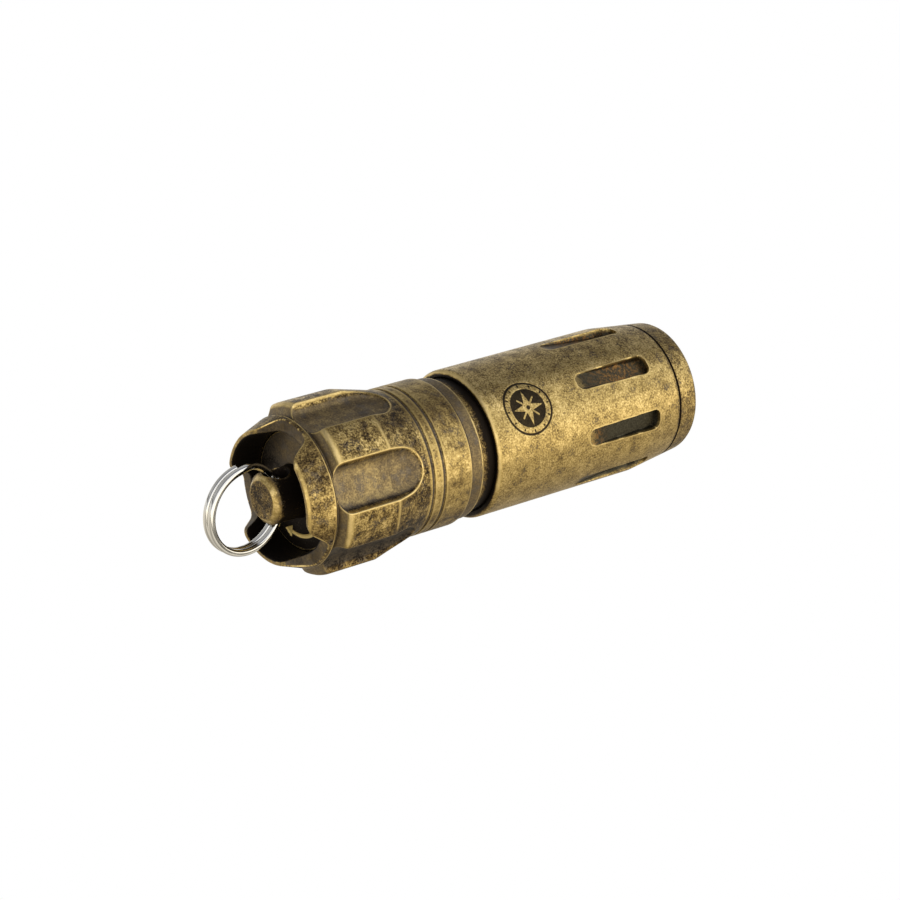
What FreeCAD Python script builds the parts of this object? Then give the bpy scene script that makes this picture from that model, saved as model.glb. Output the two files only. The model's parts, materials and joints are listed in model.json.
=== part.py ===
import FreeCAD, Part
import math
import os

from FreeCAD import Vector

# Twist keychain flashlight, in millimetres.
#
# The long axis is X: +X points out of the lens, -X out of the tail, +Z is up.
# Places along the axis are given from a datum plane just behind the head
# sleeve's rear mouth, and each finished shape is then moved by LAND_MIDDLE, so
# that the part's own origin is on the axis near the middle of the sleeve's
# plain land, where a clip grips it.
# Angles round the body ("clock" angles) start at +Z and turn towards -Y,
# which is a right-handed turn about +X.
#
# The tail (crown, battery tube, key post) screws into the head sleeve.
# Threads are plain cylinders with running clearance.

# ---- driving sizes ---------------------------------------------------------

RUN = 0.08            # radial clearance of parts that turn in each other
SEAT = 0.02           # radial clearance of parts that stay put
JOINT_LINE = 0.12     # open line between sleeve and bezel

# head sleeve
LAND_MIDDLE = 6.5
SLEEVE_R = 8.0
SLEEVE_MOUTH = 0.6
SLEEVE_FRONT = 26.0
MOUTH_ROUND = 0.55
NOSE_CONE_START = 21.57
NOSE_CONE_SLOPE = 0.12
NOSE_BLEND = 22.0
NECK_BORE_DEPTH = 5.0
THREAD_BORE_END = 11.6
LEDGE_R = 5.75
LEDGE_END = 12.6
PILL_BORE_R = 6.2
FRONT_BORE_R = 6.75
FRONT_BORE_START = 23.2

# pockets milled round the sleeve
POCKETS = 8
POCKET_CLOCK = 44.0
POCKET_REAR = 12.9
POCKET_FRONT = 22.75
POCKET_WIDTH = 2.15
POCKET_REAR_WIDTH = 1.8
POCKET_CORNER = 0.8
POCKET_REAR_DEPTH = 0.12
POCKET_FRONT_DEPTH = 0.95

# bezel
BEZEL_FRONT = 28.9
BEZEL_ROUND = 0.7
BEZEL_OPEN_R = 5.3
BEZEL_BREAK = 0.3
BEZEL_SKIRT_REAR = 23.4

# tail crown
BAND_R = 7.9
BAND_FRONT = -2.75
BAND_REAR = -8.4
LOBE_R = 9.05
LOBE_REAR = -19.05
LOBE_REAR_ROUND = 0.6
LOBE_BREAK = -13.0
LINE_X = -19.72       # bottom of the line between lobes and shroud
LINE_R = 7.6
SHROUD_EDGE = -20.1
SHROUD_EDGE_R = 8.0
SHROUD_TIP = -22.9
SHROUD_TIP_R = 7.02
RECESS_R = 6.33
RECESS_MOUTH_R = 6.6
BAND_GROOVES = (-7.85, -6.43)
BAND_GROOVE_HALF = 0.19
BAND_GROOVE_DEPTH = 0.14

FLUTES = 6
FLUTE_CLOCK = 11.5
FLUTE_FLOOR_R = 7.65
FLUTE_HALF = 2.7
FLUTE_END = -8.7
FLUTE_FLOOR_ROUND = 1.6
FLUTE_END_ROUND = 2.65

NOTCHES = 3
NOTCH_CLOCK = 10.5
NOTCH_BOTTOM = -20.5
NOTCH_HALF_BOTTOM = 2.25
NOTCH_HALF_TOP = 3.3
NOTCH_BOTTOM_ROUND = 1.0
NOTCH_TOP_ROUND = 1.1

# key post and its disc, set in the crown's recess
DISC_REAR = -19.5
DISC_R = 6.28
DISC_THICK = 0.8
POST_R = 2.73
POST_TIP = -23.66
POST_TIP_R = 2.05
POST_BEVEL = 0.58
STEM_R = 2.0
WEB_THICK = 1.0
EYE_X = -21.85        # centre line of the cross hole, which runs along Z
EYE_R = 1.3
EYE_FLARE = 0.2       # how much wider the hole gets over its last EYE_FLARE_DEPTH
EYE_FLARE_DEPTH = 0.4
ARROW_R = 4.8
ARROW_WIDTH = 0.4
ARROW_DEPTH = 0.12
ARROW_START = 112.0
ARROW_SWEEP = 77.0
ARROW_HEAD = ((5.1, 202.5), (4.1, 189.0), (5.5, 189.0))   # (radius, clock) of its three corners

# split ring
RING_MEAN_R = 4.45
COIL_WIDE = 0.74
COIL_THICK = 0.72
RING_REST_SWING = 4.0
RING_SAG = 0.3
RING_IN_EYE = 0.4       # how far in front of the eye's centre line the ring crosses
COIL_ROUND = 0.25
COIL_LINE_HALF = 0.12   # half width and depth of the line between the two coils
COIL_LINE_DEPTH = 0.14

# battery tube
TUBE_BORE_R = 5.35
TUBE_REAR = -17.0
TUBE_FRONT = 9.5
TUBE_REAR_R = 6.6
FLANGE_R = 7.6
FLANGE_FRONT = -1.14
NECK_R = 7.15
NECK_FRONT = 3.2
TUBE_THREAD_R = 6.52
NECK_SEAL = (1.1, 2.3, 6.25)       # groove's rear, front and floor radius
CROWN_SEAL = (-5.2, -4.2, 5.93)
SEAL_SIZES = ((1.7, 6.7, 0.44), (-4.7, 6.26, 0.32))   # place, mean radius, section radius

# battery, 10 mm class, 28 mm long
CELL_R = 4.95
WRAP_R = 5.05
CELL_REAR = -17.0
CELL_FRONT = 10.2
CAP_FRONT = 11.0
CAP_R = 2.1
CAN_ROUND = 0.4

# light engine
CONTACT_REAR = 12.1
CONTACT_R = 1.6
BOARD_REAR = 12.7
BOARD_FRONT = 13.5
BOARD_R = 5.7
RETAINER_R = 5.7
RETAINER_BORE_R = 4.6
FOAM_REAR = 11.45
FOAM_R = 4.4
FOAM_BORE_R = 2.3
PILL_FRONT = 16.6
PILL_WEB_REAR = 15.4
PILL_CAVITY_R = 5.0
LED_BOARD_FRONT = 17.6
LED_BOARD_R = 5.9
LED_TOP = 18.3
LED_WIDE = 3.4
LED_DOME_R = 1.35
GASKET_R = 2.95
OPTIC_REAR = 18.45
OPTIC_FLANGE_REAR = 25.2
OPTIC_FRONT = 26.2
WINDOW_FRONT = 27.45
WINDOW_R = 6.0
LIP_REAR = 28.05
SEAL_BORE_R = 5.4
WIRE_OFFSET = 3.6
WIRE_R = 0.35
WIRE_HOLE_R = 0.6

X_AXIS = Vector(1, 0, 0)
ORIGIN = Vector(0, 0, 0)


# ---- helpers ---------------------------------------------------------------

def outline(corners, place):
    """Closed wire through (a, b, round) corners; place turns (a, b) into a point."""
    starts, ends, middles = [], [], []
    count = len(corners)
    for i, (a, b, radius) in enumerate(corners):
        here = Vector(a, b, 0)
        before = Vector(corners[i - 1][0], corners[i - 1][1], 0) - here
        after = Vector(corners[(i + 1) % count][0], corners[(i + 1) % count][1], 0) - here
        if radius <= 0:
            starts.append(here)
            middles.append(None)
            ends.append(here)
            continue
        half = before.getAngle(after) / 2
        before.normalize()
        after.normalize()
        reach = radius / math.tan(half)
        bisector = before + after
        bisector.normalize()
        starts.append(here + before * reach)
        middles.append(here + bisector * (radius / math.sin(half) - radius))
        ends.append(here + after * reach)
    edges = []
    for i in range(count):
        if middles[i] is not None:
            edges.append(Part.Arc(*[place(p.x, p.y) for p in (starts[i], middles[i], ends[i])]).toShape())
        tail, head = ends[i], starts[(i + 1) % count]
        if tail.distanceToPoint(head) > 1e-6:
            edges.append(Part.LineSegment(place(tail.x, tail.y), place(head.x, head.y)).toShape())
    return Part.Wire(edges)


def turned(corners):
    """Solid turned about X from (x, radius, round) corners."""
    face = Part.Face(outline(corners, lambda x, r: Vector(x, 0, r)))
    return face.revolve(ORIGIN, X_AXIS, 360)


def disc(rear, front, radius, bore=0.0):
    """Plain disc or ring about X."""
    solid = Part.makeCylinder(radius, front - rear, Vector(rear, 0, 0), X_AXIS)
    if bore > 0:
        solid = solid.cut(Part.makeCylinder(bore, front - rear + 2, Vector(rear - 1, 0, 0), X_AXIS))
    return solid


def at_clock(shape, angle):
    """Copy of a shape made at the top, turned to a clock angle."""
    copy = shape.copy()
    copy.rotate(ORIGIN, X_AXIS, angle)
    return copy


def all_round(shape, count, first):
    """List of copies spaced evenly round the axis."""
    return [at_clock(shape, first + 360.0 * i / count) for i in range(count)]


def x_prism(corners, thickness):
    """Prism from (x, y, round) corners, standing up from z = 0."""
    face = Part.Face(outline(corners, lambda x, y: Vector(x, y, 0)))
    return face.extrude(Vector(0, 0, thickness))


def o_ring(centre_x, centre_r, section_r):
    return Part.makeTorus(centre_r, section_r, Vector(centre_x, 0, 0), X_AXIS)


# ---- head ------------------------------------------------------------------

def nose_radius(x):
    """Outer radius of the nose cone, shared by the sleeve and the bezel."""
    return SLEEVE_R - NOSE_CONE_SLOPE * (x - NOSE_CONE_START)


def pocket_cutter():
    """Ramped pocket at the top: shallow at its rear, deep at its front."""
    half, rear_half = POCKET_WIDTH / 2, POCKET_REAR_WIDTH / 2
    plan = x_prism([(POCKET_REAR, -rear_half, POCKET_CORNER), (POCKET_FRONT, -half, POCKET_CORNER),
                    (POCKET_FRONT, half, POCKET_CORNER), (POCKET_REAR, rear_half, POCKET_CORNER)], 20)
    over = SLEEVE_R + 3
    rear_floor = SLEEVE_R - POCKET_REAR_DEPTH
    front_floor = SLEEVE_R - POCKET_FRONT_DEPTH
    side = Part.Face(outline([(POCKET_REAR - 0.1, rear_floor, 0), (POCKET_FRONT + 0.1, front_floor, 0),
                              (POCKET_FRONT + 0.1, over, 0), (POCKET_REAR - 0.1, over, 0)],
                             lambda x, z: Vector(x, -POCKET_WIDTH, z)))
    return plan.common(side.extrude(Vector(0, 2 * POCKET_WIDTH, 0)))


def head_sleeve():
    neck_bore = NECK_R + RUN
    thread_bore = TUBE_THREAD_R + RUN
    body = turned([
        (SLEEVE_MOUTH, neck_bore, 0), (SLEEVE_MOUTH, SLEEVE_R, MOUTH_ROUND),
        (NOSE_CONE_START, SLEEVE_R, NOSE_BLEND), (SLEEVE_FRONT, nose_radius(SLEEVE_FRONT), 0.1),
        (SLEEVE_FRONT, FRONT_BORE_R, 0), (FRONT_BORE_START, FRONT_BORE_R, 0),
        (FRONT_BORE_START, PILL_BORE_R, 0), (LEDGE_END, PILL_BORE_R, 0),
        (LEDGE_END, LEDGE_R, 0), (THREAD_BORE_END, LEDGE_R, 0),
        (THREAD_BORE_END, thread_bore, 0), (NECK_BORE_DEPTH, thread_bore, 0),
        (NECK_BORE_DEPTH, neck_bore, 0)])
    return body.cut(all_round(pocket_cutter(), POCKETS, POCKET_CLOCK))


def bezel_ring():
    shoulder = SLEEVE_FRONT + JOINT_LINE
    skirt_r = FRONT_BORE_R - SEAT
    seat_r = WINDOW_R + SEAT
    return turned([
        (BEZEL_SKIRT_REAR, seat_r, 0), (BEZEL_SKIRT_REAR, skirt_r, 0), (shoulder, skirt_r, 0),
        (shoulder, nose_radius(shoulder), 0.1), (BEZEL_FRONT, nose_radius(BEZEL_FRONT), BEZEL_ROUND),
        (BEZEL_FRONT, BEZEL_OPEN_R + BEZEL_BREAK, 0.1), (BEZEL_FRONT - BEZEL_BREAK, BEZEL_OPEN_R, 0),
        (LIP_REAR, BEZEL_OPEN_R, 0), (LIP_REAR, seat_r, 0)])


def front_window():
    return turned([(OPTIC_FRONT, 0, 0), (OPTIC_FRONT, WINDOW_R, 0.15),
                   (WINDOW_FRONT, WINDOW_R, 0.15), (WINDOW_FRONT, 0, 0)])


def window_seal():
    return turned([(WINDOW_FRONT, SEAL_BORE_R, 0.1), (WINDOW_FRONT, WINDOW_R, 0.1),
                   (LIP_REAR, WINDOW_R, 0.1), (LIP_REAR, SEAL_BORE_R, 0.1)])


def optic():
    """Solid collimator: a cone with a flange in front and a well for the LED behind."""
    flange_r = WINDOW_R - SEAT
    well_top, well_top_r, well_r = 21.2, 1.5, 1.9
    cone_rear_r, cone_front_r, cone_middle, cone_middle_r, cone_bulge = 2.7, 5.6, 21.7, 4.6, 6.0
    return turned([
        (OPTIC_FRONT, 0, 0), (well_top + 0.4, 0, 0), (well_top, well_top_r, 0.3), (OPTIC_REAR, well_r, 0),
        (OPTIC_REAR, cone_rear_r, 0), (cone_middle, cone_middle_r, cone_bulge),
        (OPTIC_FLANGE_REAR, cone_front_r, 0), (OPTIC_FLANGE_REAR, flange_r, 0), (OPTIC_FRONT, flange_r, 0)])


def led_board():
    board = disc(PILL_FRONT, LED_BOARD_FRONT, LED_BOARD_R)
    for side in (1, -1):
        hole = Part.makeCylinder(WIRE_HOLE_R, 4, Vector(PILL_FRONT - 1, side * WIRE_OFFSET, 0), X_AXIS)
        board = board.cut(hole)
    return board


def led_package():
    corner = Vector(LED_BOARD_FRONT, -LED_WIDE / 2, -LED_WIDE / 2)
    return Part.makeBox(LED_TOP - LED_BOARD_FRONT, LED_WIDE, LED_WIDE, corner)


def led_dome():
    ball = Part.makeSphere(LED_DOME_R, Vector(LED_TOP, 0, 0))
    front_half = Part.makeBox(LED_WIDE, 2 * LED_WIDE, 2 * LED_WIDE, Vector(LED_TOP, -LED_WIDE, -LED_WIDE))
    return ball.common(front_half)


def led_gasket():
    """Insulating ring that centres the optic over the LED."""
    ring = disc(LED_BOARD_FRONT, LED_TOP + 0.1, GASKET_R)
    window = LED_WIDE + 0.1
    return ring.cut(Part.makeBox(3, window, window, Vector(LED_BOARD_FRONT - 1, -window / 2, -window / 2)))


def heat_spreader():
    """Brass pill between the driver board, which it holds, and the LED board."""
    outer = PILL_BORE_R - SEAT
    board_seat = BOARD_R + SEAT
    body = turned([(PILL_FRONT, 0, 0), (PILL_FRONT, outer, 0.2), (LEDGE_END, outer, 0),
                   (LEDGE_END, board_seat, 0), (BOARD_FRONT, board_seat, 0), (BOARD_FRONT, PILL_CAVITY_R, 0),
                   (PILL_WEB_REAR, PILL_CAVITY_R, 0), (PILL_WEB_REAR, 0, 0)])
    for side in (1, -1):
        hole_from = Vector(PILL_WEB_REAR - 1, side * WIRE_OFFSET, 0)
        body = body.cut(Part.makeCylinder(WIRE_HOLE_R, PILL_FRONT - PILL_WEB_REAR + 2, hole_from, X_AXIS))
    return body


def driver_board():
    return disc(BOARD_REAR, BOARD_FRONT, BOARD_R)


def driver_retainer():
    """Threaded ring that holds the driver board, with two spanner slots."""
    rear = THREAD_BORE_END + 0.1
    slot_deep, slot_wide = 0.5, 1.0
    slot = Part.makeBox(slot_deep, 2 * SLEEVE_R, slot_wide, Vector(rear, -SLEEVE_R, -slot_wide / 2))
    return disc(rear, BOARD_REAR, RETAINER_R, RETAINER_BORE_R).cut(slot)


def driver_chip():
    tall, wide, deep = 0.9, 2.5, 2.0
    return Part.makeBox(tall, wide, deep, Vector(BOARD_FRONT, -wide / 2, 1.2))


def driver_inductor():
    tall, wide, corner, low = 1.5, 3.0, 0.3, -4.2
    coil = x_prism([(BOARD_FRONT, -wide / 2, corner), (BOARD_FRONT + tall, -wide / 2, corner),
                    (BOARD_FRONT + tall, wide / 2, corner), (BOARD_FRONT, wide / 2, corner)], wide)
    coil.translate(Vector(0, 0, low))
    foot_tall, foot_wide = 0.4, 2.6
    foot = Part.makeBox(foot_tall, foot_wide, foot_wide, Vector(BOARD_FRONT, -foot_wide / 2, low + 0.2))
    return coil.fuse(foot).removeSplitter()


def driver_capacitors():
    size = (0.6, 0.6, 1.1)
    places = ((-2.6, 2.2), (2.0, 2.2), (2.4, -2.6))
    return Part.makeCompound([Part.makeBox(*size, Vector(BOARD_FRONT, y, z)) for y, z in places])


def positive_contact():
    return turned([(BOARD_REAR, 0, 0), (BOARD_REAR, CONTACT_R, 0),
                   (CONTACT_REAR, CONTACT_R, 0.2), (CONTACT_REAR, 0, 0)])


def foam_washer():
    """Insulating foam round the contact, at its squeezed thickness."""
    return disc(FOAM_REAR, BOARD_REAR, FOAM_R, FOAM_BORE_R)


def led_lead(side):
    """Insulated lead from the driver through the pill to the LED board."""
    return Part.makeCylinder(WIRE_R, LED_BOARD_FRONT - BOARD_FRONT,
                             Vector(BOARD_FRONT, side * WIRE_OFFSET, 0), X_AXIS)


# ---- battery ---------------------------------------------------------------

def battery_can():
    return turned([(CELL_REAR, 0, 0), (CELL_REAR, CELL_R, CAN_ROUND),
                   (CELL_FRONT, CELL_R, CAN_ROUND), (CELL_FRONT, 0, 0)])


def battery_wrap():
    return disc(CELL_REAR + CAN_ROUND, CELL_FRONT - CAN_ROUND, WRAP_R, CELL_R)


def battery_insulator():
    thick, outer_r = 0.2, 4.5
    return disc(CELL_FRONT, CELL_FRONT + thick, outer_r, CAP_R + 0.2)


def battery_cap():
    return turned([(CELL_FRONT, 0, 0), (CELL_FRONT, CAP_R, 0), (CAP_FRONT, CAP_R, 0.25), (CAP_FRONT, 0, 0)])


# ---- tail ------------------------------------------------------------------

def battery_tube():
    """Screw tube: rear thread in the crown, flange, sealed neck, front thread."""
    neck_rear, neck_front, neck_floor = NECK_SEAL
    crown_rear, crown_front, crown_floor = CROWN_SEAL
    return turned([
        (TUBE_REAR, TUBE_BORE_R, 0), (TUBE_REAR, TUBE_REAR_R, 0.2),
        (crown_rear, TUBE_REAR_R, 0), (crown_rear, crown_floor, 0),
        (crown_front, crown_floor, 0), (crown_front, TUBE_REAR_R, 0),
        (BAND_FRONT, TUBE_REAR_R, 0), (BAND_FRONT, FLANGE_R, 0.12),
        (FLANGE_FRONT, FLANGE_R, 0.12), (FLANGE_FRONT, NECK_R, 0),
        (neck_rear, NECK_R, 0), (neck_rear, neck_floor, 0),
        (neck_front, neck_floor, 0), (neck_front, NECK_R, 0),
        (NECK_FRONT, NECK_R, 0.2), (NECK_FRONT, TUBE_THREAD_R, 0),
        (TUBE_FRONT, TUBE_THREAD_R, 0.2), (TUBE_FRONT, TUBE_BORE_R, 0)])


def band_groove(x):
    floor = BAND_R - BAND_GROOVE_DEPTH
    return turned([(x - BAND_GROOVE_HALF, BAND_R + 1, 0), (x - BAND_GROOVE_HALF, floor, 0),
                   (x + BAND_GROOVE_HALF, floor, 0), (x + BAND_GROOVE_HALF, BAND_R + 1, 0)])


def flute_cutter():
    """Long concave flute at the top, open at its rear, with a rounded front end."""
    block = x_prism([(LINE_X - 6, -FLUTE_HALF, 0), (FLUTE_END, -FLUTE_HALF, FLUTE_END_ROUND),
                     (FLUTE_END, FLUTE_HALF, FLUTE_END_ROUND), (LINE_X - 6, FLUTE_HALF, 0)], 6)
    block.translate(Vector(0, 0, FLUTE_FLOOR_R))
    floor_edges = [e for e in block.Edges
                   if e.BoundBox.ZMax < FLUTE_FLOOR_R + 0.01 and e.BoundBox.XMax > LINE_X - 5]
    block = block.makeFillet(FLUTE_FLOOR_ROUND, floor_edges)
    return block.common(Part.makeBox(30, 12, 12, Vector(LINE_X, -6, 0)))


def notch_cutter():
    """Rounded notch at the top, from the shroud's tip down to its base."""
    beyond = SHROUD_TIP - 3
    shape = x_prism([(beyond, -7, 0), (beyond, 7, 0), (SHROUD_TIP, 7, 0),
                     (SHROUD_TIP, NOTCH_HALF_TOP, NOTCH_TOP_ROUND),
                     (NOTCH_BOTTOM, NOTCH_HALF_BOTTOM, NOTCH_BOTTOM_ROUND),
                     (NOTCH_BOTTOM, -NOTCH_HALF_BOTTOM, NOTCH_BOTTOM_ROUND),
                     (SHROUD_TIP, -NOTCH_HALF_TOP, NOTCH_TOP_ROUND), (SHROUD_TIP, -7, 0)], 12)
    shape.translate(Vector(0, 0, POST_R))
    return shape


def tail_crown():
    web_rear = DISC_REAR + DISC_THICK
    web_front = web_rear + WEB_THICK
    front = BAND_FRONT - 0.06
    bore = TUBE_REAR_R + SEAT
    body = turned([
        (web_front, STEM_R + SEAT, 0), (web_rear, STEM_R + SEAT, 0), (web_rear, RECESS_R, 0),
        (DISC_REAR, RECESS_R, 0), (SHROUD_TIP, RECESS_MOUTH_R, 0.12), (SHROUD_TIP, SHROUD_TIP_R, 0.25),
        (SHROUD_EDGE, SHROUD_EDGE_R, 0.1), (LINE_X, LINE_R, 0),
        (LOBE_REAR, LOBE_R, LOBE_REAR_ROUND), (LOBE_BREAK, LOBE_R, 0.4),
        (BAND_REAR, BAND_R, 0.6), (front, BAND_R, 0.2), (front, bore, 0), (web_front, bore, 0)])
    body = body.cut([band_groove(x) for x in BAND_GROOVES])
    body = body.cut(all_round(flute_cutter(), FLUTES, FLUTE_CLOCK))
    return body.cut(all_round(notch_cutter(), NOTCHES, NOTCH_CLOCK))


def arrow_cutter():
    """Shallow curved arrow engraved in the disc, which says which way to turn."""
    above, below = DISC_REAR - 1, DISC_REAR + ARROW_DEPTH
    inner, outer = ARROW_R - ARROW_WIDTH / 2, ARROW_R + ARROW_WIDTH / 2
    band = Part.Face(outline([(above, inner, 0), (below, inner, 0), (below, outer, 0), (above, outer, 0)],
                             lambda x, r: Vector(x, 0, r)))
    shaft = at_clock(band.revolve(ORIGIN, X_AXIS, ARROW_SWEEP), ARROW_START)
    points = []
    for radius, clock in ARROW_HEAD + ARROW_HEAD[:1]:
        turn = math.radians(clock)
        points.append(Vector(above, -radius * math.sin(turn), radius * math.cos(turn)))
    head = Part.Face(Part.makePolygon(points)).extrude(Vector(below - above, 0, 0))
    return shaft.fuse(head)


def key_post():
    """Anchor for the split ring: engraved disc, cross-drilled post and stem in one piece."""
    disc_front = DISC_REAR + DISC_THICK
    body = turned([
        (POST_TIP, 0, 0), (POST_TIP, POST_TIP_R, 0.1), (POST_TIP + POST_BEVEL, POST_R, 0.1),
        (DISC_REAR, POST_R, 0.2), (DISC_REAR, DISC_R, 0.12), (disc_front, DISC_R, 0),
        (disc_front, STEM_R, 0), (disc_front + WEB_THICK, STEM_R, 0), (disc_front + WEB_THICK, 0, 0)])
    eye = Part.makeCylinder(EYE_R, 4 * POST_R, Vector(EYE_X, 0, -2 * POST_R))
    inner_end = POST_R - EYE_FLARE_DEPTH
    flares = [Part.makeCone(EYE_R, EYE_R + EYE_FLARE, EYE_FLARE_DEPTH, Vector(EYE_X, 0, side * inner_end),
                            Vector(0, 0, side)) for side in (-1, 1)]
    return body.cut([eye, arrow_cutter()] + flares)


def tail_contact():
    """Sprung disc under the battery's negative end."""
    rear = DISC_REAR + DISC_THICK + WEB_THICK
    plate, plate_r, dome_r, top_r = 0.3, 5.0, 2.4, 1.3
    return turned([(rear, 0, 0), (rear, plate_r, 0), (rear + plate, plate_r, 0), (rear + plate, dome_r, 0.3),
                   (CELL_REAR, top_r, 0.1), (CELL_REAR, 0, 0)])


# ---- split ring ------------------------------------------------------------

def key_ring():
    """Double-coil split ring through the post's eye, hanging in a near-vertical plane."""
    half, line = COIL_WIDE, COIL_LINE_HALF
    inner, outer = RING_MEAN_R - COIL_THICK / 2, RING_MEAN_R + COIL_THICK / 2
    section = outline([
        (-half, inner, COIL_ROUND), (-half, outer, COIL_ROUND),
        (-line, outer, 0.1), (0, outer - COIL_LINE_DEPTH, 0), (line, outer, 0.1),
        (half, outer, COIL_ROUND), (half, inner, COIL_ROUND),
        (line, inner, 0.1), (0, inner + COIL_LINE_DEPTH, 0), (-line, inner, 0.1)],
        lambda y, r: Vector(r, y, 0))
    ring = Part.Face(section).revolve(ORIGIN, Vector(0, 1, 0), 360)
    ring.translate(Vector(EYE_X + RING_IN_EYE - RING_MEAN_R, 0, -RING_SAG))
    ring.rotate(Vector(EYE_X, 0, 0), Vector(0, 0, 1), RING_REST_SWING)
    return ring


# ---- export ----------------------------------------------------------------

NODES = {
    "head_sleeve": head_sleeve(),
    "bezel_ring": bezel_ring(),
    "front_window": front_window(),
    "window_seal": window_seal(),
    "optic": optic(),
    "led_gasket": led_gasket(),
    "led_package": led_package(),
    "led_dome": led_dome(),
    "led_board": led_board(),
    "heat_spreader": heat_spreader(),
    "driver_board": driver_board(),
    "driver_chip": driver_chip(),
    "driver_inductor": driver_inductor(),
    "driver_capacitors": driver_capacitors(),
    "driver_retainer": driver_retainer(),
    "positive_contact": positive_contact(),
    "foam_washer": foam_washer(),
    "positive_lead": led_lead(1),
    "negative_lead": led_lead(-1),
    "battery_can": battery_can(),
    "battery_wrap": battery_wrap(),
    "battery_insulator": battery_insulator(),
    "battery_cap": battery_cap(),
    "battery_tube": battery_tube(),
    "neck_o_ring": o_ring(*SEAL_SIZES[0]),
    "crown_o_ring": o_ring(*SEAL_SIZES[1]),
    "tail_crown": tail_crown(),
    "key_post": key_post(),
    "tail_contact": tail_contact(),
    "key_ring": key_ring(),
}

os.makedirs("parts", exist_ok=True)
for node, shape in NODES.items():
    shape.translate(Vector(-LAND_MIDDLE, 0, 0))
    shape.exportStep("parts/" + node + ".step")
    box = shape.BoundBox
    print("%-20s solids %d valid %s volume %9.3f  x %7.2f %7.2f" % (
        node, len(shape.Solids), shape.isValid(), shape.Volume, box.XMin, box.XMax))
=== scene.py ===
import json
import math

import bmesh
import bpy
import numpy as np
from mathutils import Matrix, Vector


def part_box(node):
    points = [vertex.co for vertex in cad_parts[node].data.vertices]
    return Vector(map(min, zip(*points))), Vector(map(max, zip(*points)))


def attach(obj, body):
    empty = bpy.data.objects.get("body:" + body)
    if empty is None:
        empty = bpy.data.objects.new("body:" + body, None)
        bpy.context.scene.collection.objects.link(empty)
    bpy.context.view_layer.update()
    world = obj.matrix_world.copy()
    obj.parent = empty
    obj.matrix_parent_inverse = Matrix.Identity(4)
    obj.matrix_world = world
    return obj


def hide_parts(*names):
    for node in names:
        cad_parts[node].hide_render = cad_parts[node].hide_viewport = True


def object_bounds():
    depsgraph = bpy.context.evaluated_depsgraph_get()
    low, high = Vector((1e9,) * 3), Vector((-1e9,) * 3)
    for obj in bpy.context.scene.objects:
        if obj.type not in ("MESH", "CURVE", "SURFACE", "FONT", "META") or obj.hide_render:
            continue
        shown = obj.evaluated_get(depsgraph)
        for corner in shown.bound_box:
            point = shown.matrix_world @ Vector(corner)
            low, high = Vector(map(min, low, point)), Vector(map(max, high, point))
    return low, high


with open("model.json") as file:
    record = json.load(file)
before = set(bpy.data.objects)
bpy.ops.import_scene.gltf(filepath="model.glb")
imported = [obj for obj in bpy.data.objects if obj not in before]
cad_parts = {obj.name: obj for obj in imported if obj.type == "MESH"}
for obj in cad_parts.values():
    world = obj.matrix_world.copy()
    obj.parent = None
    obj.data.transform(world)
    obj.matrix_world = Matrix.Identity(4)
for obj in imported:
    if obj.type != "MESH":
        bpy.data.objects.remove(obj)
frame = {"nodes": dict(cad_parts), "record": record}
CAD_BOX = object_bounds()

# The long axis is X, +X out of the lens. Sizes are in millimetres and places
# along the axis are measured from a datum just behind the sleeve's rear mouth.
# "Clock" angles start at +Z and turn towards -Y, a right-handed turn about +X.
MM = 0.001
SLEEVE_MOUTH = 0.6
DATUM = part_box("head_sleeve")[0].x - SLEEVE_MOUTH * MM

# sleeve and bezel
SLEEVE_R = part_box("head_sleeve")[1].y / MM
SLEEVE_FRONT = (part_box("head_sleeve")[1].x - DATUM) / MM
MOUTH_ROUND = 0.55
NECK_BORE_R = 7.23
NOSE_CONE_START = 21.57
NOSE_CONE_SLOPE = 0.12
JOINT_LINE = 0.12
BEZEL_FRONT = (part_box("bezel_ring")[1].x - DATUM) / MM
BEZEL_OPEN_R = 5.3

# ramped pockets
POCKETS = 8
POCKET_CLOCK = 44.0
POCKET_REAR, POCKET_FRONT = 12.9, 22.75
POCKET_WIDTH, POCKET_REAR_WIDTH = 2.15, 1.8
POCKET_CORNER = 0.8
POCKET_REAR_DEPTH, POCKET_FRONT_DEPTH = 0.12, 0.95

# centre and spread of the rust along each pocket, as shares of its length
RUST_SPOTS = ((0.62, 0.34), (0.03, 0.14), (0.0, 0.06), (0.7, 0.2),
              (0.5, 0.3), (0.2, 0.2), (0.5, 0.25), (0.5, 0.4))

# etched compass mark
MARK_X = 5.7
MARK_CLOCK = 52.0
MARK_R = 3.0
MARK_DEPTH = 0.03

# tail crown
BAND_R = 7.9
BAND_FRONT, BAND_REAR = -2.81, -8.4
BAND_GROOVES = (-6.43, -7.85)
GROOVE_HALF, GROOVE_DEPTH = 0.19, 0.14
LOBE_R = 9.05
LOBE_BREAK, LOBE_REAR = -13.0, -19.05
LINE_X, LINE_R = -19.72, 7.6
SHROUD_EDGE, SHROUD_TIP = -20.1, (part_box("tail_crown")[0].x - DATUM) / MM
SHROUD_EDGE_R, SHROUD_TIP_R, RECESS_R, RECESS_MOUTH_R = 8.0, 7.02, 6.33, 6.6
RECESS_FLOOR = -18.7
CROWN_BORE_R = 6.62
STEM_HOLE_R = 2.02
FLUTES = 6
FLUTE_CLOCK = 11.5
FLUTE_FLOOR_R, FLUTE_HALF, FLUTE_END = 7.65, 2.7, -8.7
FLUTE_FLOOR_ROUND, FLUTE_END_ROUND = 1.6, 2.65
NOTCHES = 3
NOTCH_CLOCK = 10.5
NOTCH_BOTTOM = -20.5
NOTCH_HALF_BOTTOM, NOTCH_HALF_TOP = 2.25, 3.3
NOTCH_BOTTOM_ROUND, NOTCH_TOP_ROUND = 1.0, 1.1

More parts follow.
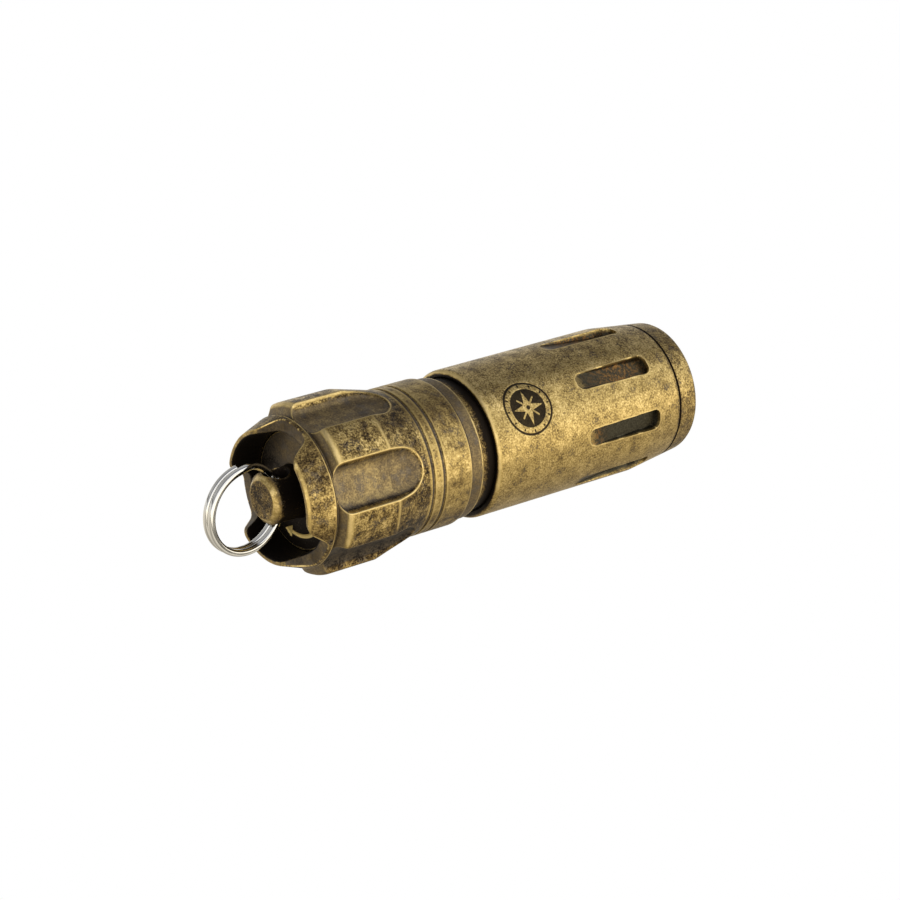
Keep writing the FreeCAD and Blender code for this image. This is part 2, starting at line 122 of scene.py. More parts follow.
# key post: disc, post, cross hole and engraved arrow
DISC_REAR, DISC_FRONT, DISC_R = -19.5, -18.7, 6.28
POST_R, POST_TIP_R, POST_BEVEL = 2.73, 2.05, 0.58
POST_TIP = (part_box("key_post")[0].x - DATUM) / MM
STEM_R, STEM_FRONT = 2.0, -17.7
EYE_R, EYE_FLARE, EYE_FLARE_DEPTH = 1.3, 0.2, 0.4
ARROW_R, ARROW_HALF, ARROW_DEPTH = 4.8, 0.2, 0.12
ARROW_START, ARROW_END = 112.0, 189.0
ARROW_HEAD = ((5.1, 202.5), (4.1, 189.0), (5.5, 189.0))

# split ring, swung a little about the eye in the post
EYE_X = -21.85
RING_R = 4.45
RING_IN_EYE = 0.4
RING_SAG = 0.3
RING_SWING = 4.0
WIRE = 0.71
COIL_STEP = 0.74


# ---- mesh helpers ----------------------------------------------------------

def smooth_step(low, high, value):
    share = np.clip((value - low) / (high - low), 0.0, 1.0)
    return share * share * (3 - 2 * share)


def rounded_profile(corners):
    """Closed (x, r) loop through (x, r, round, step) corners; step spaces the run that follows."""
    points = []
    count = len(corners)
    for i, (x, r, radius, step) in enumerate(corners):
        here = np.array((x, r), float)
        before = np.array(corners[i - 1][:2], float) - here
        after = np.array(corners[(i + 1) % count][:2], float) - here
        before /= np.linalg.norm(before)
        after_length = np.linalg.norm(after)
        after /= after_length
        if radius <= 0:
            points.append(here)
            leave = here
        else:
            half = math.acos(np.clip(before @ after, -1, 1)) / 2
            reach = radius / math.tan(half)
            middle = here + (before + after) / np.linalg.norm(before + after) * radius / math.sin(half)
            start, leave = here + before * reach, here + after * reach
            turns = max(2, int(math.ceil((math.pi - 2 * half) / math.radians(18))))
            for share in np.linspace(0, 1, turns + 1):
                arm = (start - middle) * (1 - share) + (leave - middle) * share
                points.append(middle + arm / np.linalg.norm(arm) * radius)
        next_radius = corners[(i + 1) % count][2]
        target = np.array(corners[(i + 1) % count][:2], float)
        if next_radius > 0:
            beyond = np.array(corners[(i + 2) % count][:2], float) - target
            back = here - target
            cosine = back @ beyond / np.linalg.norm(back) / np.linalg.norm(beyond)
            target = target + back / np.linalg.norm(back) * next_radius / math.tan(math.acos(cosine) / 2)
        run = np.linalg.norm(target - leave)
        for share in np.linspace(0, 1, max(1, int(round(run / step))) + 1)[1:-1]:
            points.append(leave * (1 - share) + target * share)
    return np.array(points)


def axis_points(x, r, clock):
    """Points from stations, radii and clock angles in degrees, in millimetres."""
    turn = np.radians(clock)
    return np.stack(np.broadcast_arrays(x, -r * np.sin(turn), r * np.cos(turn)), axis=-1)


def soften(points, passes, rows):
    """Rounds the edges of a grid that is closed both ways; rows picks the rows that may move."""
    for _ in range(passes):
        middle = (np.roll(points, 1, 0) + np.roll(points, -1, 0)
                  + np.roll(points, 1, 1) + np.roll(points, -1, 1)) / 4
        moved = points + 0.5 * (middle - points)
        points = points.copy()
        points[:, rows] = moved[:, rows]
    return points


def grid_object(name, points, layers=None):
    """Mesh object from points[column, row] in millimetres, closed both ways."""
    columns, rows = points.shape[:2]
    index = np.arange(columns * rows).reshape(columns, rows)
    right, up = np.roll(index, -1, 0), np.roll(index, -1, 1)
    both = np.roll(right, -1, 1)
    faces = np.stack([index, right, both, up], axis=-1).reshape(-1, 4)
    co = points.reshape(-1, 3) * MM
    co[:, 0] += DATUM
    mesh = bpy.data.meshes.new(name)
    mesh.from_pydata(co.tolist(), [], faces.tolist())
    for layer, values in (layers or {}).items():
        attribute = mesh.attributes.new(layer, "FLOAT", "POINT")
        attribute.data.foreach_set("value", values.astype(np.float32).ravel())
    made = bmesh.new()
    made.from_mesh(mesh)
    bmesh.ops.recalc_face_normals(made, faces=made.faces)
    made.to_mesh(mesh)
    made.free()
    mesh.shade_smooth()
    piece = bpy.data.objects.new(name, mesh)
    bpy.context.scene.collection.objects.link(piece)
    return piece


def paint(piece, layer, rule):
    """Point layer worked out from each vertex's station, radius and clock angle."""
    co = np.zeros(len(piece.data.vertices) * 3)
    piece.data.vertices.foreach_get("co", co)
    x, y, z = (co.reshape(-1, 3) / MM - np.array((DATUM / MM, 0, 0))).T
    values = rule(x, np.hypot(y, z), np.degrees(np.arctan2(-y, z)))
    piece.data.attributes.new(layer, "FLOAT", "POINT").data.foreach_set("value", values.astype(np.float32))


def between(value, low, high, fade):
    """1 between two limits, fading out over a distance."""
    return smooth_step(low - fade, low, value) * (1 - smooth_step(high, high + fade, value))


def finish_piece(piece, body, nodes, material):
    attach(piece, body)
    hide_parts(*nodes)
    piece.data.materials.clear()
    piece.data.materials.append(material)


# ---- head ------------------------------------------------------------------

def nose_radius(x):
    return SLEEVE_R - NOSE_CONE_SLOPE * np.maximum(x - NOSE_CONE_START, 0)


def rounded_box_distance(x, y, centre_x, half_x, half_y, corner):
    """Signed distance to a rounded rectangle, negative inside."""
    qx = np.abs(x - centre_x) - (half_x - corner)
    qy = np.abs(y) - (half_y - corner)
    outside = np.hypot(np.maximum(qx, 0), np.maximum(qy, 0))
    return outside + np.minimum(np.maximum(qx, qy), 0) - corner


def compass_distance(x, y):
    """Signed distance, negative inside, of a plain compass dial about (0, 0)."""
    radius = np.hypot(x, y)
    angle = np.arctan2(y, x)
    rim = np.abs(radius - (MARK_R - 0.12)) - 0.12
    disc = radius - 2.15
    folded = np.abs((angle + math.pi / 4) % (math.pi / 2) - math.pi / 4)
    along, across = radius * np.cos(folded), radius * np.sin(folded)
    star = (across * 1.95 + (along - 1.95) * 0.5) / math.hypot(1.95, 0.5)
    turned = np.abs(angle % (math.pi / 2) - math.pi / 4)
    along, across = radius * np.cos(turned), radius * np.sin(turned)
    ray = np.maximum(across - 0.1, along - 1.5)
    eye = radius - 0.24
    face = np.maximum(disc, -np.minimum(star, ray))
    tick_angle = (angle + math.radians(15)) % math.radians(30) - math.radians(15)
    tick = np.maximum(np.abs(radius * np.sin(tick_angle)) - 0.09, np.abs(radius - 2.55) - 0.14)
    return np.minimum(np.minimum(np.minimum(face, rim), eye), tick)


def sleeve_columns():
    """Clock angles: close together at the pockets' edges and over the mark."""
    per_mm = 1 / math.radians(SLEEVE_R)
    half = np.concatenate([np.linspace(0, 0.3, 3)[:-1], np.linspace(0.3, 0.9, 7)[:-1],
                           np.linspace(0.9, 1.3, 9)[:-1], np.linspace(1.3, math.pi * SLEEVE_R / POCKETS, 7)])
    one = np.concatenate([-half[:0:-1], half[:-1]]) * per_mm
    clocks = np.concatenate([POCKET_CLOCK + 360 / POCKETS * i + one for i in range(POCKETS)]) % 360
    spread = (MARK_R + 0.25) * per_mm
    outside = clocks[np.abs(clocks - MARK_CLOCK) > spread]
    inside = np.linspace(MARK_CLOCK - spread, MARK_CLOCK + spread, 80)
    return np.unique(np.round(np.concatenate([outside, inside]), 4))


def ridge(distance, reach):
    """1 on an edge, falling off over a reach in millimetres."""
    return np.exp(-(distance / reach) ** 2)


def sleeve_wear(x, r, clock, pocket_edge):
    """Rubbed bright: the mouth and the pockets' rims, less so underneath."""
    below = smooth_step(105, 122, np.abs((clock + 180) % 360 - 180))
    mouth = 0.85 * ridge(x - SLEEVE_MOUTH - 0.14, 0.14) + 0.2 * ridge(x - SLEEVE_MOUTH, 0.6)
    mouth = mouth * (1 - 0.8 * below) * (r > NECK_BORE_R + 0.35)
    rims = 0.6 * ridge(pocket_edge - 0.09, 0.08) + 0.2 * ridge(pocket_edge - 0.2, 0.35)
    return np.maximum(mouth, rims * (r > 7.4) * (1 - 0.8 * below))


def pocket_rust(x, r, clock):
    """Orange bloom on some pockets' floors: each has its own centre and spread along the ramp."""
    which = np.round((clock - POCKET_CLOCK) * POCKETS / 360).astype(int) % POCKETS
    centre, spread = np.array(RUST_SPOTS).T
    share = (x - POCKET_REAR) / (POCKET_FRONT - POCKET_REAR)
    return ridge(share - centre[which], spread[which])


def pocket_end(x, r, clock):
    """1 at the shallow rear end of the pockets, where the ramp is worn."""
    return 1 - smooth_step(0.0, 0.2, (x - POCKET_REAR) / (POCKET_FRONT - POCKET_REAR)) + 0 * r


def seam_line_and_mouth_shade(x, r, clock):
    """Dark line where the bezel meets the sleeve, and painted shade inside the sleeve's mouth, reaching
    further onto its rounding underneath.
    """
    seam = SLEEVE_FRONT + JOINT_LINE / 2
    line = 0.9 * (1 - smooth_step(0.09, 0.2, np.abs(x - seam)))
    below = smooth_step(105, 135, np.abs((clock + 180) % 360 - 180))
    # painted shade over the inner part of the mouth's rounding, further out underneath
    inside = 1 - smooth_step(NECK_BORE_R + 0.3, NECK_BORE_R + 0.5, r - 0.12 * below)
    return line + 0.9 * inside * (x < SLEEVE_MOUTH + MOUTH_ROUND)


def sleeve_calm(x, r, clock):
    """The mottle is strong along the top and fainter away from it."""
    return 0.5 * smooth_step(22, 52, np.abs((clock + 180) % 360 - 180)) + 0 * r


def head_sleeve(material):
    step_fine, step_mid, step_far = 0.06, 0.3, 2.5
    mark = MARK_R + 0.25
    stops = [(SLEEVE_MOUTH, NECK_BORE_R, 0.12, 0.2), (SLEEVE_MOUTH, SLEEVE_R, MOUTH_ROUND, step_mid),
             (MARK_X - mark, SLEEVE_R, 0, 0.072), (MARK_X + mark, SLEEVE_R, 0, step_mid),
             (POCKET_REAR - 0.15, SLEEVE_R, 0, step_fine), (POCKET_REAR + 0.85, SLEEVE_R, 0, step_mid),
             (POCKET_FRONT - 0.85, SLEEVE_R, 0, step_fine), (POCKET_FRONT + 0.15, SLEEVE_R, 0, step_mid),
             (SLEEVE_FRONT, SLEEVE_R, 0.1, 0.2), (SLEEVE_FRONT, 6.75, 0, 1.0), (23.2, 6.75, 0, 1.0),
             (23.2, 6.2, 0, step_far), (12.6, 6.2, 0, step_far), (12.6, 5.75, 0, 1.0), (11.6, 5.75, 0, 1.0),
             (11.6, 6.6, 0, step_far), (5.0, 6.6, 0, 1.0), (5.0, NECK_BORE_R, 0, step_far)]
    profile = rounded_profile(stops)
    clock = sleeve_columns()[:, None]
    x, r = profile[None, :, 0], profile[None, :, 1]
    outer = r > 7.4
    r = r - np.where(outer, SLEEVE_R - nose_radius(x), 0)
    offset = (clock - POCKET_CLOCK + 180 / POCKETS) % (360 / POCKETS) - 180 / POCKETS
    aside = SLEEVE_R * np.sin(np.radians(offset))
    share = (x - POCKET_REAR) / (POCKET_FRONT - POCKET_REAR)
    half = (POCKET_REAR_WIDTH + (POCKET_WIDTH - POCKET_REAR_WIDTH) * np.clip(share, 0, 1)) / 2
    edge = rounded_box_distance(x, aside, (POCKET_REAR + POCKET_FRONT) / 2,
                                (POCKET_FRONT - POCKET_REAR) / 2, half, POCKET_CORNER)
    depth = POCKET_REAR_DEPTH + (POCKET_FRONT_DEPTH - POCKET_REAR_DEPTH) * share
    floor = np.minimum((SLEEVE_R - depth) / np.cos(np.radians(offset)), r)
    cut = 1 - smooth_step(-0.05, 0.035, edge)
    r = np.where(outer, r * (1 - cut) + floor * cut, r)
    mark_edge = compass_distance(x - MARK_X, SLEEVE_R * np.radians(clock - MARK_CLOCK))
    mark_edge = np.where(outer & (np.abs(clock - MARK_CLOCK) < 30), mark_edge, 1.0)
    r = r - MARK_DEPTH * (1 - smooth_step(-0.04, 0.03, mark_edge))
    points = axis_points(x, r, clock)
    shape = points.shape[:2]
    layers = {"mark": np.broadcast_to(mark_edge, shape),
              "pocket": np.broadcast_to(np.where(outer, edge, 5.0), shape),
              "wear": np.broadcast_to(sleeve_wear(x, r, clock, edge) + 0 * r, shape)}
    piece = grid_object("etched_head_sleeve", points, layers)
    paint(piece, "seam", seam_line_and_mouth_shade)
    paint(piece, "rust", pocket_rust)
    paint(piece, "worn_end", pocket_end)
    paint(piece, "calm", sleeve_calm)
    piece.data.set_sharp_from_angle(angle=math.radians(50))
    finish_piece(piece, "head", ["head_sleeve"], material)


def lathe(name, corners, columns):
    profile = rounded_profile(corners)
    clock = (np.arange(columns) * 360 / columns)[:, None]
    return grid_object(name, axis_points(profile[None, :, 0], profile[None, :, 1], clock))


def bezel_ring(material):
    shoulder = SLEEVE_FRONT + JOINT_LINE
    seat_r, skirt_r = 6.02, 6.73
    piece = lathe("worn_bezel_ring", [
        (23.4, seat_r, 0, 0.4), (23.4, skirt_r, 0, 0.8), (shoulder, skirt_r, 0, 0.2),
        (shoulder, nose_radius(shoulder), 0.13, 0.25), (BEZEL_FRONT, nose_radius(BEZEL_FRONT), 0.7, 0.2),
        (BEZEL_FRONT, BEZEL_OPEN_R + 0.3, 0.12, 0.1), (BEZEL_FRONT - 0.3, BEZEL_OPEN_R, 0.08, 0.15),
        (28.05, BEZEL_OPEN_R, 0.05, 0.2), (28.05, seat_r, 0, 1.0)], 320)
    paint(piece, "seam", seam_line_and_mouth_shade)
    finish_piece(piece, "head", ["bezel_ring"], material)


# ---- tail ------------------------------------------------------------------

def flute_radius(x, offset):
    """Radius at which a ray at an angle from the flute's middle meets the flute's surface."""
    sine, cosine = np.sin(np.radians(offset)), np.cos(np.radians(offset))
    found = np.full(np.broadcast(x, offset).shape, 99.0)
    last_r, last_gap = None, None
    for r in np.linspace(7.4, 9.6, 67):
        qx = x - (FLUTE_END - FLUTE_END_ROUND)
        qy = np.abs(r * sine) - (FLUTE_HALF - FLUTE_END_ROUND)
        outside = np.hypot(np.maximum(qx, 0), np.maximum(qy, 0)) + np.minimum(np.maximum(qx, qy), 0)
        inside = np.clip(FLUTE_END_ROUND - outside, 0, FLUTE_FLOOR_ROUND)
        rise = FLUTE_FLOOR_ROUND - np.sqrt(FLUTE_FLOOR_ROUND ** 2 - (FLUTE_FLOOR_ROUND - inside) ** 2)
        rise = rise + 8 * np.maximum(outside - FLUTE_END_ROUND, 0)
        gap = r * cosine - FLUTE_FLOOR_R - rise + 0 * found
        if last_gap is not None:
            crossed = (last_gap < 0) & (gap >= 0) & (found > 90)
            share = last_gap / np.where(crossed, last_gap - gap, 1.0)
            found = np.where(crossed, last_r + (r - last_r) * share, found)
        last_r, last_gap = r, gap
    return found


def notch_line():
    """Fine polyline (y, x) of one notch's half outline, from its middle out to the rim."""
    corners = [(-1.0, NOTCH_BOTTOM, 0, 1.0), (NOTCH_HALF_BOTTOM, NOTCH_BOTTOM, NOTCH_BOTTOM_ROUND, 0.05),
               (NOTCH_HALF_TOP, SHROUD_TIP, NOTCH_TOP_ROUND, 1.0), (9.0, SHROUD_TIP, 0, 1.0),
               (9.0, 0.0, 0, 50.0), (-1.0, 0.0, 0, 50.0)]
    line = rounded_profile(corners)
    return line[:-2]


def crown_tip(aside, line):
    """Station of the shroud's edge at a distance aside of a notch's middle."""
    return np.interp(np.abs(aside), line[:, 0], line[:, 1])


def flute_offset(clock):
    """Degrees from the nearest flute's middle."""
    return (clock - FLUTE_CLOCK + 180 / FLUTES) % (360 / FLUTES) - 180 / FLUTES


def flute_edge(x, clock):
    """Distance to the flutes' visible edge on the uncut surface, positive inside a flute."""
    full = np.interp(x, (LINE_X, LOBE_REAR, LOBE_BREAK, BAND_REAR), (LINE_R, LOBE_R, LOBE_R, BAND_R))
    turn = np.radians(flute_offset(clock))
    qx = x - (FLUTE_END - FLUTE_END_ROUND)
    qy = np.abs(full * np.sin(turn)) - (FLUTE_HALF - FLUTE_END_ROUND)
    outside = np.hypot(np.maximum(qx, 0), np.maximum(qy, 0)) + np.minimum(np.maximum(qx, qy), 0)
    height = np.clip(full * np.cos(turn) - FLUTE_FLOOR_R, 0, FLUTE_FLOOR_ROUND)
    reach = FLUTE_FLOOR_ROUND - np.sqrt(FLUTE_FLOOR_ROUND ** 2 - (FLUTE_FLOOR_ROUND - height) ** 2)
    return np.where(x < LINE_X, -5.0, FLUTE_END_ROUND - outside - reach)


def shroud_radius(x):
    """Outside of the shroud, a cone, without the break at its base."""
    return SHROUD_EDGE_R + (SHROUD_TIP_R - SHROUD_EDGE_R) * (SHROUD_EDGE - x) / (SHROUD_EDGE - SHROUD_TIP)


def recess_radius(x):
    return RECESS_R + (RECESS_MOUTH_R - RECESS_R) * np.clip((DISC_REAR - x) / (DISC_REAR - SHROUD_TIP), 0, 1)


def notch_edge(x, r, clock):
    """Distance from the edge line of the shroud's rim and notches."""
    line = notch_line()
    offset = (clock - NOTCH_CLOCK + 180 / NOTCHES) % (360 / NOTCHES) - 180 / NOTCHES
    aside = np.abs(r * np.sin(np.radians(offset)))
    gap = np.full(x.shape, 9.0)
    near = x < LINE_X
    for y, station in line[line[:, 0] < 8.0]:
        gap[near] = np.minimum(gap[near], np.hypot(aside[near] - y, x[near] - station))
    return gap


def crown_wear(x, r, clock):
    """Rubbed bright: edges of flutes, lands, band, shroud and notches."""
    flute = flute_edge(x, clock)
    bare, shroud = flute < 0, x < LINE_X
    edges = [~shroud * (ridge(flute + 0.02, 0.09) + 0.4 * ridge(flute + 0.1, 0.35) * bare),
             0.75 * ridge(x - LOBE_BREAK, 0.22) * bare, 0.25 * ridge(x - LOBE_BREAK, 0.8) * bare,
             (0.95 * ridge(x - LOBE_REAR, 0.2) + 0.4 * ridge(x - LOBE_REAR - 0.3, 0.5)) * (r > 8.6),
             0.85 * ridge(x - BAND_FRONT + 0.1, 0.16) * (r > 7.7),
             ridge(x - SHROUD_EDGE, 0.1) * (r > 7.8)]
    for groove in BAND_GROOVES:
        edges.append(0.6 * (ridge(x - groove - 0.3, 0.1) + ridge(x - groove + 0.3, 0.1)) * (r > 7.0))
    outer, bore = shroud_radius(x), recess_radius(x)
    line = notch_edge(x, r, clock)
    rim = ridge(line, 0.14) * np.maximum(ridge(r - outer, 0.17), 0.7 * ridge(r - bore, 0.1))
    tooth = ridge(np.maximum(np.abs(x - SHROUD_TIP) - 0.25, 0), 0.15) * (r > bore + 0.05)
    edges += [shroud * rim, 0.6 * shroud * tooth, 0.25 * shroud * ridge(line, 0.4) * (r > outer - 0.1)]
    low = smooth_step(104, 120, np.abs(clock)) * (x < BAND_REAR) * ~shroud
    return np.clip(np.maximum.reduce(edges) * (1 - 0.6 * low), 0, 1)


def crown_patina_and_shade(x, r, clock):
    """How dark the tarnish lies: light on the band, deep on the lobes, shroud, lines and recess, with painted
    shade laid in: darker underneath, along the flutes' edges, over the shroud's top and in the recess,
    lighter under the top notch, and a dark painted reflection across the band.
    """
    flute = smooth_step(0.0, 0.25, flute_edge(x, clock)) * (x > LINE_X)
    low = smooth_step(100, 118, np.abs(clock))
    # On the band: a painted reflection, a dark streak about 38 degrees round from the top, and painted shade
    # underneath.
    band = (0.37 + 0.2 * ridge(clock - 38, 14) + 0.2 * smooth_step(112, 124, np.abs(clock))) * (x > BAND_REAR)
    # The slope and the lands darken underneath: painted shade.
    slope = (0.6 + 0.15 * low) * between(x, LOBE_BREAK, BAND_REAR, 0.2)
    land = (0.5 + 0.25 * low) * between(x, LOBE_REAR - 0.1, LOBE_BREAK, 0.1)
    lines = sum(0.8 * between(x, groove - 0.15, groove + 0.15, 0.06) for groove in BAND_GROOVES)
    rear_face = 0.52 * between(x, SHROUD_EDGE + 0.1, LOBE_REAR, 0.06) * (r < 8.75)
    notch_face = smooth_step(0.06, 0.16, shroud_radius(x) - r) * (x < SHROUD_EDGE)
    # Painted shade on the shroud's teeth: darker over the top and underneath, lighter between.
    painted_shroud_shade = 0.08 * (1 - smooth_step(45.0, 80.0, np.abs(clock)))
    painted_shroud_shade = painted_shroud_shade + 0.14 * smooth_step(93.0, 105.0, np.abs(clock))
    shroud = (x < SHROUD_EDGE + 0.1) * (0.53 + painted_shroud_shade * (1 - notch_face) + 0.17 * notch_face)
    # Recess: black with tarnish and painted shade, less dark under the top notch as a painted pool of light.
    deep = 1 - smooth_step(0.02, 0.1, r - recess_radius(x))
    recess = (1.6 - 0.6 * ridge(clock - NOTCH_CLOCK, 24)) * deep * (x < RECESS_FLOOR + 0.1)
    # Flutes: tarnish, with painted shade underneath and along their edges, most under each flute's lower
    # edge.
    below = flute_offset(clock) > 0
    straight = 1 - smooth_step(FLUTE_END - 3.2, FLUTE_END - 1.2, x)
    painted_flute_shade = (0.15 + 0.35 * below * straight) * ridge(flute_edge(x, clock) - 0.2, 0.25) * (1 - low)
    fluted = (0.5 + 0.4 * low) * flute + painted_flute_shade * flute
    return np.maximum.reduce([band, slope, land, lines, rear_face, shroud, recess, fluted])


def crown_calm(x, r, clock):
    """Where the mottle is faint: flutes, the lobes' rear face, the notches' faces, half so on the band."""
    notch = (x < SHROUD_EDGE) * smooth_step(0.05, 0.15, shroud_radius(x) - r)
    rear_face = between(x, SHROUD_EDGE + 0.08, LOBE_REAR, 0.06) * (r < 8.75)
    flute = 0.75 * smooth_step(0.0, 0.3, flute_edge(x, clock)) * (x > LINE_X)
    lines = sum(between(x, groove - 0.15, groove + 0.15, 0.06) for groove in BAND_GROOVES)
    band, shroud = 0.55 * (x > BAND_REAR), 0.38 * (x < LINE_X) + 0 * r
    return np.maximum.reduce([flute, notch, rear_face, lines, band, shroud])


def crown_columns():
    """Clock angles: close together where the flutes' and the notches' sides run."""
    half = np.concatenate([np.linspace(0, 14, 14)[:-1], np.linspace(14, 20, 15)[:-1],
                           np.linspace(20, 30, 18)])
    one = np.concatenate([-half[:0:-1], half[:-1]])
    return np.concatenate([FLUTE_CLOCK + 360 / FLUTES * i + one for i in range(FLUTES)])


def tail_crown(material):
    clock = crown_columns()[:, None]
    columns = len(clock)
    notch_offset = (clock - NOTCH_CLOCK + 180 / NOTCHES) % (360 / NOTCHES) - 180 / NOTCHES
    notch_sine = np.sin(np.radians(notch_offset))
    corners = [(BAND_FRONT, CROWN_BORE_R, 0, 0.3), (BAND_FRONT, BAND_R, 0.2, 0.4)]
    for groove in BAND_GROOVES:
        floor_r = BAND_R - GROOVE_DEPTH
        corners += [(groove + GROOVE_HALF, BAND_R, 0.03, 0.1), (groove + GROOVE_HALF, floor_r, 0, 0.1),
                    (groove - GROOVE_HALF, floor_r, 0, 0.1), (groove - GROOVE_HALF, BAND_R, 0.03, 0.4)]
    corners += [(BAND_REAR, BAND_R, 0.6, 0.12), (LOBE_BREAK, LOBE_R, 0.3, 0.3), (LOBE_REAR, LOBE_R, 0.6, 0.1),
                (LINE_X, LINE_R, 0, 0.1)]
    outer = rounded_profile(corners + [(SHROUD_EDGE, SHROUD_EDGE_R, 0, 30.0)])
    body_x, body_r = outer[None, :, 0], outer[None, :, 1]
    flute = flute_radius(body_x, flute_offset(clock))
    in_flute = (body_x < FLUTE_END + 0.3) & (body_x > LINE_X + 0.01)
    edge_round = 0.06
    blend = np.clip(0.5 + 0.5 * (flute - body_r) / edge_round, 0, 1)
    cut = flute * (1 - blend) + body_r * blend - edge_round * blend * (1 - blend)
    body_r = np.where(in_flute & (blend < 1), np.minimum(cut, body_r), body_r)

    line = notch_line()
    tip = np.full_like(clock, SHROUD_TIP)
    for _ in range(12):
        tip = crown_tip(shroud_radius(tip) * notch_sine, line)
    rise = np.linspace(0.04, 1, 24)[None, :]
    wall_x = SHROUD_EDGE + (tip - SHROUD_EDGE) * rise
    wall_r = shroud_radius(wall_x)
    across = np.linspace(0, 1, 9)[None, 1:-1]
    inner_top = tip
    for _ in range(12):
        inner_top = crown_tip(recess_radius(inner_top) * notch_sine, line)
    rim_r = wall_r[:, -1:] * (1 - across) + recess_radius(inner_top) * across
    rim_x = crown_tip(rim_r * notch_sine, line)
    drop = np.linspace(0, 1, 13)[None, :]
    inner_x = inner_top + (RECESS_FLOOR - inner_top) * drop
    inner_r = recess_radius(inner_x)
    closing = [(RECESS_FLOOR, 4.0), (RECESS_FLOOR, STEM_HOLE_R), (-17.7, STEM_HOLE_R), (-17.7, 4.5),
               (-17.7, CROWN_BORE_R), (-14.0, CROWN_BORE_R), (-10.0, CROWN_BORE_R), (-6.0, CROWN_BORE_R)]
    back_x = np.broadcast_to(np.array([[p[0] for p in closing]]), (columns, len(closing)))
    back_r = np.broadcast_to(np.array([[p[1] for p in closing]]), (columns, len(closing)))
    x = np.concatenate([np.broadcast_to(body_x, body_r.shape), wall_x, rim_x, inner_x, back_x], axis=1)
    r = np.concatenate([body_r, wall_r, rim_r, inner_r, back_r], axis=1)
    points = axis_points(x, r, clock)
    lobes = body_r.shape[1]
    shroud = np.arange(lobes - 1, lobes + wall_x.shape[1] + rim_x.shape[1] + 6)
    points = soften(points, 2, shroud)
    points = soften(points, 1, np.arange(1, lobes))
    piece = grid_object("worn_tail_crown", points)
    paint(piece, "wear", crown_wear)
    paint(piece, "patina_and_shade", crown_patina_and_shade)
    paint(piece, "calm", crown_calm)
    finish_piece(piece, "tail", ["tail_crown"], material)


def tube_patina_and_shade(x, r, clock):
    # Tarnish, with painted shade: darker towards the sleeve's mouth where the tube runs into the gap, and
    # darker from the crown's band rearward, a painted shadow line where it shows beside the band.
    return 0.6 + 1.0 * smooth_step(-0.75, 0.4, x) + 0.4 * (1 - smooth_step(-2.68, -2.55, x))


def tube_wear(x, r, clock):
    return 0.95 * ridge(x + 1.28, 0.13) * (r > 7.35)


def battery_tube(material):
    piece = lathe("dark_battery_tube", [
        (-17.0, 5.35, 0, 3.0), (-17.0, 6.6, 0.15, 3.0), (-5.2, 6.6, 0, 0.5), (-5.2, 5.93, 0, 0.5),
        (-4.2, 5.93, 0, 0.5), (-4.2, 6.6, 0, 0.5), (-2.75, 6.6, 0, 0.3), (-2.75, 7.6, 0.12, 0.08),
        (-1.14, 7.6, 0.16, 0.2), (-1.14, 7.15, 0.05, 0.3), (1.1, 7.15, 0.05, 0.3), (1.1, 6.25, 0, 0.4),
        (2.3, 6.25, 0, 0.4), (2.3, 7.15, 0.05, 0.3), (3.2, 7.15, 0.15, 0.2), (3.2, 6.52, 0, 1.0),
        (9.5, 6.52, 0.2, 0.4), (9.5, 5.35, 0, 3.0)], 256)
    paint(piece, "patina_and_shade", tube_patina_and_shade)
    paint(piece, "wear", tube_wear)
    paint(piece, "calm", lambda x, r, clock: 0.75 - 0.5 * (x > -1.1) + 0 * r)
    finish_piece(piece, "tail", ["battery_tube"], material)


def arrow_distance(x, r, clock):
    """Signed distance to the engraved arrow, negative inside, on the disc's rear face."""
    turn = np.radians(clock % 360)
    shaft = np.maximum(np.abs(r - ARROW_R) - ARROW_HALF,
                       np.abs(clock % 360 - (ARROW_START + ARROW_END) / 2) * math.radians(ARROW_R)
                       - (ARROW_END - ARROW_START) / 2 * math.radians(ARROW_R))
    y, z = -r * np.sin(turn), r * np.cos(turn)
    tips = [(-a * math.sin(math.radians(b)), a * math.cos(math.radians(b))) for a, b in ARROW_HEAD]
    centre = np.mean(tips, axis=0)
    head = np.full(r.shape, -99.0)
    for i, (y0, z0) in enumerate(tips):
        y1, z1 = tips[(i + 1) % 3]
        normal = np.array((z1 - z0, y0 - y1)) / math.hypot(z1 - z0, y1 - y0)
        if normal @ (centre - np.array((y0, z0))) > 0:
            normal = -normal
        head = np.maximum(head, (y - y0) * normal[0] + (z - z0) * normal[1])
    return np.where(x < DISC_REAR + ARROW_DEPTH + 0.1, np.minimum(shaft, head), 5.0)


def post_patina_and_shade(x, r, clock):
    """Dark face, a neck that darkens towards the disc, and a disc that darkens towards its lower side as
    painted shade.
    """
    # painted shade: the disc darkens away from the top
    disc = 0.7 + 0.4 * smooth_step(20, 80, np.abs(clock))
    neck = 0.85 + 0.4 * smooth_step(POST_TIP + 0.7, POST_TIP + 1.3, x)
    return np.where(x > DISC_REAR - 0.05, disc, np.where(x < POST_TIP + 0.05, 0.72, neck))


def post_calm(x, r, clock):
    return np.where(x > DISC_REAR - 0.05, 0.8, 0.0) + 0 * r


def post_wear(x, r, clock):
    """Bright bevel with a ragged lower border, and the disc's rubbed edge."""
    past_tip = x - POST_TIP
    bevel = 0.86 * smooth_step(POST_TIP_R - 0.15, POST_TIP_R + 0.05, r)
    bevel = bevel * (1 - 0.55 * smooth_step(0.2, 0.6, past_tip)) * (1 - smooth_step(0.55, 0.9, past_tip))
    rim = ridge(r - DISC_R + 0.06, 0.12) * (x < DISC_REAR + 0.2)
    mouth = ridge(np.hypot(x - EYE_X, r * np.sin(np.radians(clock))) - EYE_R - EYE_FLARE, 0.16)
    near_mouth = (x < EYE_X + 2.2) & (np.abs(r * np.cos(np.radians(clock))) > 2.2)
    return np.maximum.reduce([bevel, rim, 0.45 * mouth * near_mouth])


